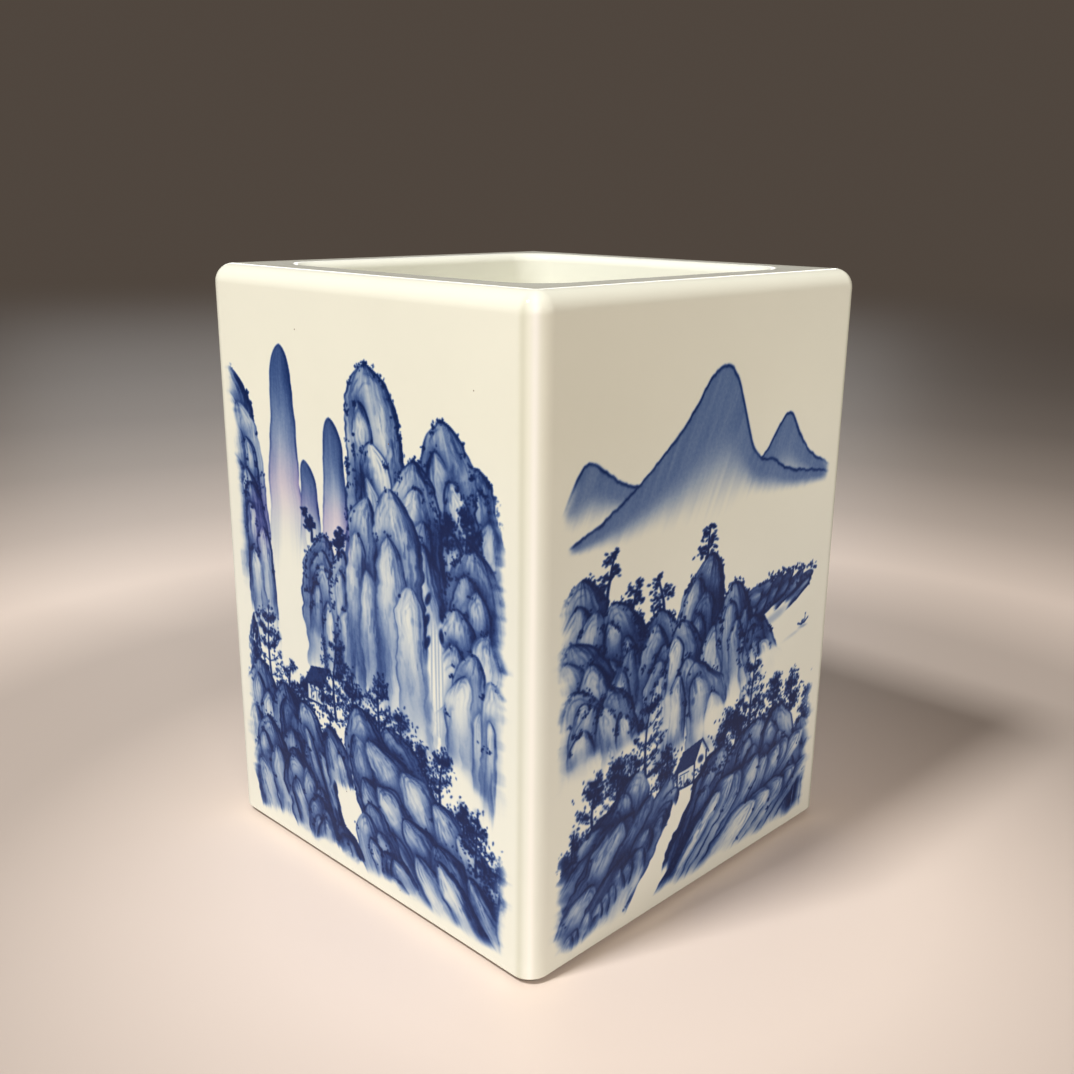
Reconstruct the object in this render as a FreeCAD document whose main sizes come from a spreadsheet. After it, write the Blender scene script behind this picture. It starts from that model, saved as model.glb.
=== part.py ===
"""Square porcelain brush pot, slab built, with a painted and glazed outside.

Four thick wall slabs are mitred together and luted with slip. A base slab sits between them, a
little above the table, so the bare lower edges of the walls are the foot. Soft clay coils are
pressed into the inside corners and around the floor. Each side carries a film of cobalt painting
under a skin of clear glaze, and the same glaze runs over the rim, down the well and under the base.

Millimetres, +Z up, origin on the table under the middle of the pot. The front side faces -Y.
"""

import FreeCAD, Part

import os

import Sketcher
from FreeCAD import Placement, Rotation, Vector

DIMENSIONS = {
    "overall_width": 100.0,  # glaze to glaze, across two opposite sides
    "overall_height": 130.0,  # table to the top of the glazed rim
    "opening_width": 76.0,  # clear width of the well between glazed walls
    "glaze_skin": 0.5,  # thickness of the clear glaze
    "outer_corner_radius": 4.5,  # upright corners, over the glaze
    "rim_radius": 4.0,  # outer edge of the rim, over the glaze
    "lip_radius": 2.0,  # inner edge of the rim, over the glaze
    "rim_glaze_inset": 5.5,  # where the rim's glaze is parted from the glaze of the sides
    "well_corner_radius": 8.0,  # inside upright corners, over the glaze
    "well_cove_radius": 5.5,  # where the walls meet the floor, over the glaze
    "floor_level": 11.5,  # top of the glazed floor above the table
    "recess_depth": 2.5,  # glazed ceiling of the hollow under the base
    "foot_bevel": 1.0,  # bare bevel at the foot, which the glaze stops above
    "slip_seam": 0.4,  # slip left in each luted joint
    "coil_bedding": 0.6,  # how far a coil is pressed into the slabs behind it
    "film_thickness": 0.1,  # cobalt painting between body and glaze
    "film_width": 91.0,  # painted field on each side
    "film_height": 122.0,
    "film_level": 3.0,  # lower edge of the painted field above the table
}

# The sides in order round the pot, each a quarter turn on from the one before.
SIDES = ("front", "right", "back", "left")
QUARTER_TURN = 90
CLEAR = 10  # how far a cutting block runs past the pot

# Derived sizes, as expressions over the sheet's cells.
BODY_HALF = "(dims.overall_width / 2 - dims.glaze_skin)"
WELL_HALF = "(dims.opening_width / 2 + dims.glaze_skin)"
BODY_TOP = "(dims.overall_height - dims.glaze_skin)"
BASE_TOP = "(dims.floor_level - dims.glaze_skin)"
BASE_UNDERSIDE = "(dims.recess_depth + dims.glaze_skin)"
COIL_WIDTH = "(dims.well_corner_radius + dims.glaze_skin)"
COVE_RADIUS = "(dims.well_cove_radius + dims.glaze_skin)"
COVE_TOP = f"({BASE_TOP} + {COVE_RADIUS})"
COIL_OUTER = f"({WELL_HALF} + dims.coil_bedding)"
FLOOR_COIL_INNER = f"({WELL_HALF} - {COVE_RADIUS})"

doc = FreeCAD.newDocument("brush_pot")
dims = doc.addObject("Spreadsheet::Sheet", "dims")


def fill_sheet():
    """One row for each driving dimension: its name, and its value under an alias."""
    for row, (name, value) in enumerate(DIMENSIONS.items(), start=1):
        dims.set(f"A{row}", name)
        dims.set(f"B{row}", str(value))
        dims.setAlias(f"B{row}", name)
    doc.recompute()


def bind(feature, **expressions):
    """Binds properties to the sheet. A double underscore in a name stands for a dot."""
    for name, expression in expressions.items():
        feature.setExpression(name.replace("__", "."), expression)
    return feature


def quarter_turns(count):
    return Placement(Vector(), Rotation(Vector(0, 0, 1), count * QUARTER_TURN))


# ---------------------------------------------------------------- sketch-based bodies


def square_sketch(body, name, half_side, level):
    """A square centred on the Z axis, on a plane parallel to the table."""
    sketch = body.newObject("Sketcher::SketchObject", name)
    table = next(f for f in body.Origin.OriginFeatures if f.Role == "XY_Plane")
    sketch.AttachmentSupport = [(table, "")]
    sketch.MapMode = "FlatFace"
    bind(sketch, AttachmentOffset__Base__z=level)
    corners = [Vector(-10, -10), Vector(10, -10), Vector(10, 10), Vector(-10, 10)]
    for start, end in zip(corners, corners[1:] + corners[:1]):
        sketch.addGeometry(Part.LineSegment(start, end))
    for line in range(4):
        sketch.addConstraint(Sketcher.Constraint("Coincident", line, 2, (line + 1) % 4, 1))
    for line in (0, 2):
        sketch.addConstraint(Sketcher.Constraint("Horizontal", line))
    for line in (1, 3):
        sketch.addConstraint(Sketcher.Constraint("Vertical", line))
    sketch.addConstraint(Sketcher.Constraint("Symmetric", 0, 1, 1, 2, -1, 1))
    sketch.addConstraint(Sketcher.Constraint("Equal", 0, 1))
    side = sketch.addConstraint(Sketcher.Constraint("Distance", 0, 20.0))
    sketch.renameConstraint(side, "side")
    bind(sketch, Constraints__side=f"2 * {half_side}")
    doc.recompute()
    return sketch


def pad(body, name, half_side, level, length):
    feature = body.newObject("PartDesign::Pad", name)
    feature.Profile = square_sketch(body, name + "_outline", half_side, level)
    bind(feature, Length=length)
    doc.recompute()
    return feature


def pocket(body, name, half_side, level, depth, upward=False):
    before = body.Shape.Volume
    feature = body.newObject("PartDesign::Pocket", name)
    feature.Profile = square_sketch(body, name + "_outline", half_side, level)
    feature.Reversed = upward
    bind(feature, Length=depth)
    doc.recompute()
    assert feature.Shape.Volume < before - 1, name + " cuts nothing"
    return feature


def edges_where(shape, test):
    """Names of the edges whose bounding box passes a test."""
    return [f"Edge{i}" for i, edge in enumerate(shape.Edges, start=1) if test(edge.BoundBox)]


def round_edges(body, kind, name, size, test):
    """A Fillet or Chamfer on the edges of the body's tip that pass a test."""
    base = body.Tip
    feature = body.newObject("PartDesign::" + kind, name)
    feature.Base = (base, edges_where(base.Shape, test))
    bind(feature, **{"Radius" if kind == "Fillet" else "Size": size})
    doc.recompute()
    return feature


def level_edges(height, reach, inside):
    """A test for edges that lie at one height, inside or outside a distance from the axis."""

    def test(box):
        far = max(abs(box.XMin), abs(box.XMax), abs(box.YMin), abs(box.YMax))
        flat = abs(box.ZMin - height) < 0.01 and abs(box.ZMax - height) < 0.01
        return flat and (far < reach) == inside

    return test


def upright_edges(reach, inside):
    """A test for upright edges inside or outside a distance from the axis."""

    def test(box):
        far = max(abs(box.XMin), abs(box.XMax), abs(box.YMin), abs(box.YMax))
        upright = box.XLength < 0.01 and box.YLength < 0.01 and box.ZLength > 20
        return upright and (far < reach) == inside

    return test


def pot_form(name, skin):
    """The pot's whole form, shrunk by a skin: nothing for the glazed pot, the glaze for the bare one."""
    body = doc.addObject("PartDesign::Body", name)
    less = DIMENSIONS["glaze_skin"] if skin != "0" else 0.0
    top = DIMENSIONS["overall_height"] - less
    floor = DIMENSIONS["floor_level"] - less
    between = DIMENSIONS["overall_width"] / 2 - DIMENSIONS["rim_radius"]
    well = f"(dims.opening_width / 2 + {skin})"
    rim = f"(dims.overall_height - {skin})"
    pad(body, "block", f"(dims.overall_width / 2 - {skin})", "0", rim)
    pocket(body, "well", well, rim, f"{rim} - (dims.floor_level - {skin})")
    pocket(body, "recess", well, "0", f"dims.recess_depth + {skin}", upward=True)
    round_edges(body, "Fillet", "outer_corners", f"dims.outer_corner_radius - {skin}",
                upright_edges(between, inside=False))
    round_edges(body, "Fillet", "well_corners", f"dims.well_corner_radius + {skin}",
                upright_edges(between, inside=True))
    round_edges(body, "Fillet", "well_cove", f"dims.well_cove_radius + {skin}",
                level_edges(floor, between, inside=True))
    round_edges(body, "Fillet", "rim", f"dims.rim_radius - {skin}",
                level_edges(top, between, inside=False))
    round_edges(body, "Fillet", "lip", f"dims.lip_radius - {skin}",
                level_edges(top, between, inside=True))
    round_edges(body, "Chamfer", "foot", "dims.foot_bevel", level_edges(0.0, between, inside=False))
    return body


# ---------------------------------------------------------------- cutting blocks


def block(name, x_low, x_high, y_low, y_high, z_low, z_high, turns=0):
    """A box between two corners, turned about the Z axis by quarter turns."""
    feature = doc.addObject("Part::Wedge", name)
    bind(feature, Xmin=x_low, X2min=x_low, Xmax=x_high, X2max=x_high, Ymin=y_low, Ymax=y_high,
         Zmin=z_low, Z2min=z_low, Zmax=z_high, Z2max=z_high)
    feature.Placement = quarter_turns(turns)
    return feature


def centred_block(name, half_side, z_low, z_high):
    low = f"-1 * {half_side}"
    return block(name, low, half_side, low, half_side, z_low, z_high)


def mitre_block(name, inner, turns, gap="0"):
    """The quarter of space behind one side, outside an inner square, between the two mitres."""
    feature = doc.addObject("Part::Wedge", name)
    outer = f"(dims.overall_width / 2 + {CLEAR})"
    top = f"dims.overall_height + {CLEAR}"
    bind(feature, Ymin=f"-1 * {outer}", Ymax=f"-1 * {inner}", Xmin=f"{gap} - {outer}",
         Xmax=f"{outer} - {gap}", X2min=f"{gap} - {inner}", X2max=f"{inner} - {gap}",
         Zmin="0", Z2min="0", Zmax=top, Z2max=top)
    feature.Placement = quarter_turns(turns)
    return feature


def common(name, base, tool):
    feature = doc.addObject("Part::MultiCommon", name)
    feature.Shapes = [base, tool]
    return feature


def cut(name, base, tool):
    feature = doc.addObject("Part::Cut", name)
    feature.Base, feature.Tool = base, tool
    return feature


def fuse(name, shapes):
    feature = doc.addObject("Part::MultiFuse", name)
    feature.Shapes = shapes
    return feature


# ---------------------------------------------------------------- clay


def clay_coils(bare):
    """A coil along each side of the floor, mitred at the ends, then one up each inside corner."""
    top = f"dims.overall_height + {CLEAR}"
    ring = centred_block("floor_coil_bed", COIL_OUTER, f"({BASE_TOP} - dims.coil_bedding)", COVE_TOP)
    core = centred_block("floor_coil_core", FLOOR_COIL_INNER, "0", top)
    beds = [cut("floor_coil_ring", ring, core)]
    floor_ring = common("floor_coil_all", bare, beds[0])
    parts = {}
    for turns, side in enumerate(SIDES):
        wedge = mitre_block(f"floor_coil_wedge_{side}", FLOOR_COIL_INNER, turns)
        parts[f"floor_coil_{side}"] = common(f"floor_coil_{side}", floor_ring, wedge)
    for turns, side in enumerate(SIDES):
        near = f"({WELL_HALF} - {COIL_WIDTH})"
        bed = block(f"corner_coil_bed_{side}", near, COIL_OUTER, f"-1 * {COIL_OUTER}",
                    f"-1 * {near}", COVE_TOP, top, turns)
        beds.append(bed)
        name = f"corner_coil_{side}_{SIDES[(turns + 1) % 4]}"
        parts[name] = common(name, bare, bed)
    return parts, fuse("coil_beds", beds)


def clay_slabs(bare, coil_beds):
    """Four mitred walls, the base slab between them, and the slip in the joints."""
    parts = {}
    mitre_gap = "(dims.slip_seam / sqrt(2))"
    inner_square = centred_block("inner_square", WELL_HALF, "0", f"dims.overall_height + {CLEAR}")
    for turns, side in enumerate(SIDES):
        wedge = mitre_block(f"wall_wedge_{side}", WELL_HALF, turns, mitre_gap)
        rough = common(f"wall_rough_{side}", bare, wedge)
        parts[f"wall_{side}"] = cut(f"wall_{side}", rough, coil_beds)

        sheet = doc.addObject("Part::Box", f"seam_sheet_{side}")
        bind(sheet, Length="dims.overall_width", Width="dims.slip_seam", Height=BODY_TOP)
        sheet.Placement = Placement(
            Vector(0, -DIMENSIONS["slip_seam"] / 2, 0), Rotation()
        )
        sheet.Placement = Placement(
            Vector(), Rotation(Vector(0, 0, 1), (turns - 0.5) * QUARTER_TURN)
        ).multiply(sheet.Placement)
        diagonal = cut(f"seam_outside_{side}", common(f"seam_rough_{side}", bare, sheet), inner_square)
        name = f"corner_seam_{side}_{SIDES[(turns + 1) % 4]}"
        parts[name] = cut(name, diagonal, coil_beds)

    slab_half = f"({WELL_HALF} - dims.slip_seam)"
    slab = centred_block("base_slab_blank", slab_half, BASE_UNDERSIDE, BASE_TOP)
    parts["base_slab"] = cut("base_slab", slab, coil_beds)
    frame = centred_block("base_seam_blank", WELL_HALF, BASE_UNDERSIDE, BASE_TOP)
    parts["base_seam"] = cut("base_seam", cut("base_seam_frame", frame, slab), coil_beds)
    return parts


# ---------------------------------------------------------------- painting and glaze


def paint_and_glaze(bare, glazed):
    """A painted film and a glaze skin for each side, then the glaze of rim, well and base."""
    parts = {}
    skin = cut("glaze_everywhere", glazed, bare)
    top = f"dims.overall_height + {CLEAR}"
    rim_half = "(dims.overall_width / 2 - dims.rim_glaze_inset)"
    lip_level = "(dims.overall_height - dims.lip_radius)"
    for turns, side in enumerate(SIDES):
        film = block(f"painting_{side}", "-0.5 * dims.film_width", "0.5 * dims.film_width",
                     f"-1 * ({BODY_HALF} + dims.film_thickness)", f"-1 * {BODY_HALF}",
                     "dims.film_level", "dims.film_level + dims.film_height", turns)
        parts[f"painting_{side}"] = film
        wedge = mitre_block(f"glaze_wedge_{side}", rim_half, turns)
        bind(wedge, Zmin="dims.foot_bevel", Z2min="dims.foot_bevel")
        coat = common(f"glaze_coat_{side}", skin, wedge)
        parts[f"glaze_{side}"] = cut(f"glaze_{side}", coat, film)
    rim = centred_block("rim_block", rim_half, lip_level, top)
    parts["glaze_rim"] = common("glaze_rim", skin, rim)
    well = centred_block("well_block", rim_half, f"({BASE_TOP} - {CLEAR / 4})", lip_level)
    parts["glaze_well"] = common("glaze_well", skin, well)
    base = centred_block("base_block", rim_half, "dims.foot_bevel", BASE_UNDERSIDE)
    parts["glaze_base"] = common("glaze_base", skin, base)
    return parts


# ---------------------------------------------------------------- build, check, export


def build():
    fill_sheet()
    glazed = pot_form("glazed_form", "0")
    bare = pot_form("bare_form", "dims.glaze_skin")
    parts, coil_beds = clay_coils(bare)
    parts.update(clay_slabs(bare, coil_beds))
    parts.update(paint_and_glaze(bare, glazed))
    doc.recompute()
    return parts, bare, glazed


def check(parts, bare, glazed):
    """Stops at a failed feature or a bad solid, then compares the pieces' volume with the whole."""
    for feature in doc.Objects:
        assert not {"Invalid", "Error"} & set(feature.State), feature.Name + " failed"
    for name, feature in parts.items():
        feature.Label = name
        shape = feature.Shape
        assert not shape.isNull() and shape.isValid(), name + " has no valid shape"
        assert shape.Solids and shape.Volume > 0, name + " holds no solid"
    clay = sum(f.Shape.Volume for n, f in parts.items() if not n.startswith(("glaze", "painting")))
    print(f"clay pieces {clay:.1f} mm3, bare form {bare.Shape.Volume:.1f} mm3")
    coat = sum(f.Shape.Volume for n, f in parts.items() if n.startswith(("glaze", "painting")))
    print(f"glaze and painting {coat:.1f} mm3, glazed form {glazed.Shape.Volume:.1f} mm3")


def export(parts):
    os.makedirs("parts", exist_ok=True)
    for name, feature in parts.items():
        solids = feature.Shape.Solids
        shape = solids[0] if len(solids) == 1 else Part.makeCompound(solids)
        shape.exportStep(f"parts/{name}.step")
        print(f"{name}: {len(solids)} solid, {feature.Shape.Volume:.1f} mm3")


pieces, bare_form, glazed_form = build()
check(pieces, bare_form, glazed_form)
export(pieces)
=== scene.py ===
"""Looks for the square porcelain brush pot: glaze, cobalt painting, bare foot, floor, light and camera."""

import math

import bpy
import numpy as np
from mathutils import Matrix, Vector


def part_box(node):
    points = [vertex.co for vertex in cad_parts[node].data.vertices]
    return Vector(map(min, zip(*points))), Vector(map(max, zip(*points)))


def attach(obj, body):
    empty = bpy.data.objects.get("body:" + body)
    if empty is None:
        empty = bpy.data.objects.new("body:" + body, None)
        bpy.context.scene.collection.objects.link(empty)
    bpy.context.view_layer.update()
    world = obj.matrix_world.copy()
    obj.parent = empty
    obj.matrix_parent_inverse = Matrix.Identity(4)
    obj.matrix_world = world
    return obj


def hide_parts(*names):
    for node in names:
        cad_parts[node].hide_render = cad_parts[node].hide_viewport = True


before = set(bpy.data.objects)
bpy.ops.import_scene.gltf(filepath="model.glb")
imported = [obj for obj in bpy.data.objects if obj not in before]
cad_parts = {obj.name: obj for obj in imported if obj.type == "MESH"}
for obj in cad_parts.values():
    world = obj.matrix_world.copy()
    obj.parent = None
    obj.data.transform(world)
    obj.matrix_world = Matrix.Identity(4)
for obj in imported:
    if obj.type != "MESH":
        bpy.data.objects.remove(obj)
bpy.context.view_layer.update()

MM = 0.001
SIDES = ("front", "right", "back", "left")  # each a quarter turn on from the one before

# Sizes of the glazed form in millimetres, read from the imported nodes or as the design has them.
side_low, side_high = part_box("glaze_front")
rim_low, rim_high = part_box("glaze_rim")
well_low, well_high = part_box("glaze_well")
wall_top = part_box("wall_front")[1].z
HALF = -side_low.y / MM
TOP = side_high.z / MM
GLAZE_FOOT = side_low.z / MM
RIM_SEAM = rim_high.x / MM
SKIN = (side_high.z - wall_top) / MM
WELL_HALF = well_high.x / MM - SKIN
FLOOR = well_low.z / MM + SKIN
LIP_RADIUS = (rim_high.z - rim_low.z) / MM
CORNER_RADIUS = 4.5
RIM_RADIUS = 4.0
WELL_CORNER = 8.0
WELL_COVE = 5.5
LIP_MARGIN = 1.5  # of flat rim between the lip's roll and the next ring of points
SEAM_RADIUS = 0.3  # of the corners where the sides' glaze meets the rim's


def new_object(name, verts, faces, smooth=True):
    """A mesh object in the scene, from points in millimetres."""
    mesh = bpy.data.meshes.new(name)
    mesh.from_pydata([tuple(v) for v in np.asarray(verts) * MM], [], faces)
    mesh.polygons.foreach_set("use_smooth", [smooth] * len(mesh.polygons))
    mesh.update()
    obj = bpy.data.objects.new(name, mesh)
    bpy.context.scene.collection.objects.link(obj)
    return obj


def grid_faces(rows, columns, closed=False):
    """Quads of a grid of rows times columns points. A closed grid joins its last column to its first."""
    r, c = np.meshgrid(np.arange(rows - 1), np.arange(columns if closed else columns - 1), indexing="ij")
    n = (c + 1) % columns
    quads = np.stack([r * columns + c, r * columns + n, (r + 1) * columns + n, (r + 1) * columns + c], -1)
    return quads.reshape(-1, 4)


# ---- glazed sides

PITCH = 0.22  # spacing of the points that carry the painting
PAINT_HALF = 44.0
PAINT_LOW = 3.0
PAINT_HIGH = 118.0
TURN_STEPS = 13  # columns of points from a corner's mitre to the flat of the side
BEAD_STEPS = 6  # rows of points round the glaze's edge at the foot
MITRE, MITRE_BAND = 45.0, 9.0  # degrees round a corner where the glaze is thinnest and a painted highlight lies, and how wide
SHADE_STRIPE, SHADE_STRIPE_BAND, SHADE_STRIPE_SHARE = 17.0, 10.0, 0.8  # the same for the painted shade stripe beside the right-hand corner
paint_x = np.linspace(-PAINT_HALF, PAINT_HALF, round(2 * PAINT_HALF / PITCH) + 1)
paint_z = np.linspace(PAINT_LOW, PAINT_HIGH, round((PAINT_HIGH - PAINT_LOW) / PITCH) + 1)


def side_columns():
    """Across a side: place along the core line and the angle of the outward normal, ends on the mitres."""
    core = HALF - CORNER_RADIUS
    turn = np.radians(np.linspace(MITRE, 0, TURN_STEPS))
    left = [(-core, -a) for a in turn]
    right = [(core, a) for a in turn[::-1]]
    return left + [(x, 0.0) for x in paint_x] + right


def side_rows():
    """Up a side: how far the surface is set in, its height, and how far it leans back."""
    rows = [(SKIN * (1 - math.sin(a)), GLAZE_FOOT + SKIN * (1 - math.cos(a)), a - math.pi / 2)
            for a in np.radians(np.linspace(0, 90, BEAD_STEPS))]
    rows += [(0.0, z, 0.0) for z in paint_z]
    rows += [(0.0, z, 0.0) for z in np.linspace(PAINT_HIGH, TOP - RIM_RADIUS, 8)[1:]]
    rows += [(RIM_RADIUS * (1 - math.cos(a)), TOP - RIM_RADIUS * (1 - math.sin(a)), a)
             for a in np.radians(np.linspace(0, 90, 17))[1:]]
    rows += [(inset, TOP, math.pi / 2) for inset in (CORNER_RADIUS, HALF - RIM_SEAM)]
    return rows


def thin_glaze_and_painted_light(columns, rows):
    """1 on the mitres, for thin glaze and a painted highlight, below 0 on a painted shade stripe. It fades
    over the rim.
    """
    turned = np.degrees(columns[:, 1])
    mitre = np.exp(-((MITRE - np.abs(turned)) / MITRE_BAND) ** 2)
    shade_stripe = np.exp(-((SHADE_STRIPE - turned) / SHADE_STRIPE_BAND) ** 2)
    upright = np.cos([lean for _, _, lean in rows]) ** 2
    return upright[:, None] * (mitre - SHADE_STRIPE_SHARE * shade_stripe)


def side_surface(columns, rows):
    """Points and outward normals of the front side, before it is turned to its place."""
    core = HALF - CORNER_RADIUS
    place, turned = columns.T
    points = np.zeros((len(rows), len(columns), 3))
    normals = np.zeros_like(points)
    for i, (inset, z, lean) in enumerate(rows):
        radius = max(CORNER_RADIUS - inset, SEAM_RADIUS)
        shrink = inset + radius - CORNER_RADIUS
        points[i, :, 0] = place * (core - shrink) / core + np.sin(turned) * radius
        points[i, :, 1] = -(core - shrink) - np.cos(turned) * radius
        points[i, :, 2] = z
        normals[i, :, 0] = np.sin(turned) * math.cos(lean)
        normals[i, :, 1] = -np.cos(turned) * math.cos(lean)
        normals[i, :, 2] = math.sin(lean)
    return points, normals


def glazed_side(turns, side, ink, plum):
    """The glaze of one side with its painting held in two fields on the points."""
    columns = np.array(side_columns())
    rows = side_rows()
    points, normals = side_surface(columns, rows)
    cos, sin = math.cos(turns * math.pi / 2), math.sin(turns * math.pi / 2)
    quarter_turn = np.array(((cos, sin, 0), (-sin, cos, 0), (0, 0, 1)))
    faces = grid_faces(len(rows), len(columns)).tolist()
    obj = new_object(f"glazed_{side}", (points @ quarter_turn).reshape(-1, 3), faces)
    # the normals are the form's own, so that the sides meet without a crease
    obj.data.normals_split_custom_set_from_vertices((normals @ quarter_turn).reshape(-1, 3))
    # thin is 1 on the mitres for thin glaze and a painted highlight, and below 0 on a painted shade stripe
    fields = {"thin": thin_glaze_and_painted_light(columns, rows)}
    for name, field in (("ink", ink), ("plum", plum)):
        margins = ((BEAD_STEPS, len(rows) - BEAD_STEPS - len(paint_z)), (TURN_STEPS, TURN_STEPS))
        fields[name] = np.pad(field, margins)
    for name, field in fields.items():
        layer = obj.data.attributes.new(name, "FLOAT", "POINT")
        layer.data.foreach_set("value", field.astype(np.float32).ravel())
    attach(obj, "root")
    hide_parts(f"glaze_{side}", f"painting_{side}")
    return obj


# ---- rim and well


def rounded_square(half, radius, z, arc=14, side=12):
    """Points of a rounded square, counter-clockwise, the same number whatever its size."""
    centre = half - radius
    points = []
    for quarter in range(4):
        cos, sin = math.cos(quarter * math.pi / 2), math.sin(quarter * math.pi / 2)
        corner = [(centre + radius * math.cos(a), -centre + radius * math.sin(a))
                  for a in np.linspace(-math.pi / 2, 0, arc, endpoint=False)]
        edge = [(half, y) for y in np.linspace(-centre, centre, side, endpoint=False)]
        points += [(x * cos - y * sin, x * sin + y * cos, z) for x, y in corner + edge]
    return points


def rim_and_well():
    """Glaze over the flat of the rim, round the lip, down the well and across its floor."""
    loops = [rounded_square(RIM_SEAM, SEAM_RADIUS, TOP)]
    loops.append(rounded_square(WELL_HALF + LIP_RADIUS + LIP_MARGIN, WELL_CORNER + LIP_RADIUS, TOP))
    quarter = np.radians(np.linspace(0, 90, 11))
    for a in quarter:
        out = LIP_RADIUS * (1 - math.sin(a))
        loops.append(rounded_square(WELL_HALF + out, WELL_CORNER + out, TOP - LIP_RADIUS * (1 - math.cos(a))))
    for z in np.linspace(TOP - LIP_RADIUS, FLOOR + WELL_COVE, 12)[1:]:
        loops.append(rounded_square(WELL_HALF, WELL_CORNER, z))
    for a in quarter[1:]:
        inset = WELL_COVE * (1 - math.cos(a))
        z = FLOOR + WELL_COVE * (1 - math.sin(a))
        loops.append(rounded_square(WELL_HALF - inset, WELL_CORNER - inset, z))
    for share in (0.8, 0.6, 0.4, 0.2, 0.05):
        half, corner = (WELL_HALF - WELL_COVE) * share, (WELL_CORNER - WELL_COVE) * share
        loops.append(rounded_square(half, corner, FLOOR))
    count = len(loops[0])
    faces = grid_faces(len(loops), count, closed=True).tolist()
    faces.append(list(range((len(loops) - 1) * count, len(loops) * count)))
    obj = new_object("glazed_rim_and_well", np.concatenate(loops), faces)
    deep = np.ones((len(loops), count), np.float32)  # 0 on the seam, where the colour is the sides'
    deep[0] = 0.0
    obj.data.attributes.new("deep", "FLOAT", "POINT").data.foreach_set("value", deep.ravel())
    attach(obj, "root")
    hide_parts("glaze_rim", "glaze_well")
    return obj


# ---- painting

TABLE = np.random.default_rng(7).random((256, 256))


def smooth(low, high, value):
    """0 up to low, 1 from high on, and a smooth rise between."""
    t = np.clip((value - low) / (high - low), 0.0, 1.0)
    return t * t * (3 - 2 * t)


def noise(a, b, seed=0):
    """A smooth random field from 0 to 1 over two coordinates, about one bump to a unit."""
    a, b = np.broadcast_arrays(np.asarray(a, float), np.asarray(b, float))
    ia, ib = np.floor(a).astype(int), np.floor(b).astype(int)
    fa, fb = a - ia, b - ib
    fa, fb = fa * fa * (3 - 2 * fa), fb * fb * (3 - 2 * fb)
    ia, ib = ia + 17 * seed, ib + 31 * seed
    size = len(TABLE)
    ia, ib, next_a, next_b = ia % size, ib % size, (ia + 1) % size, (ib + 1) % size
    low = TABLE[ia, ib] * (1 - fa) + TABLE[next_a, ib] * fa
    high = TABLE[ia, next_b] * (1 - fa) + TABLE[next_a, next_b] * fa
    return low * (1 - fb) + high * fb


def arch_share(rise):
    """Half width of a rock's round top as a share, where rise is 1 at its top and 0 at its springing."""
    return (1 - rise ** 1.8) ** 0.60


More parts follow.
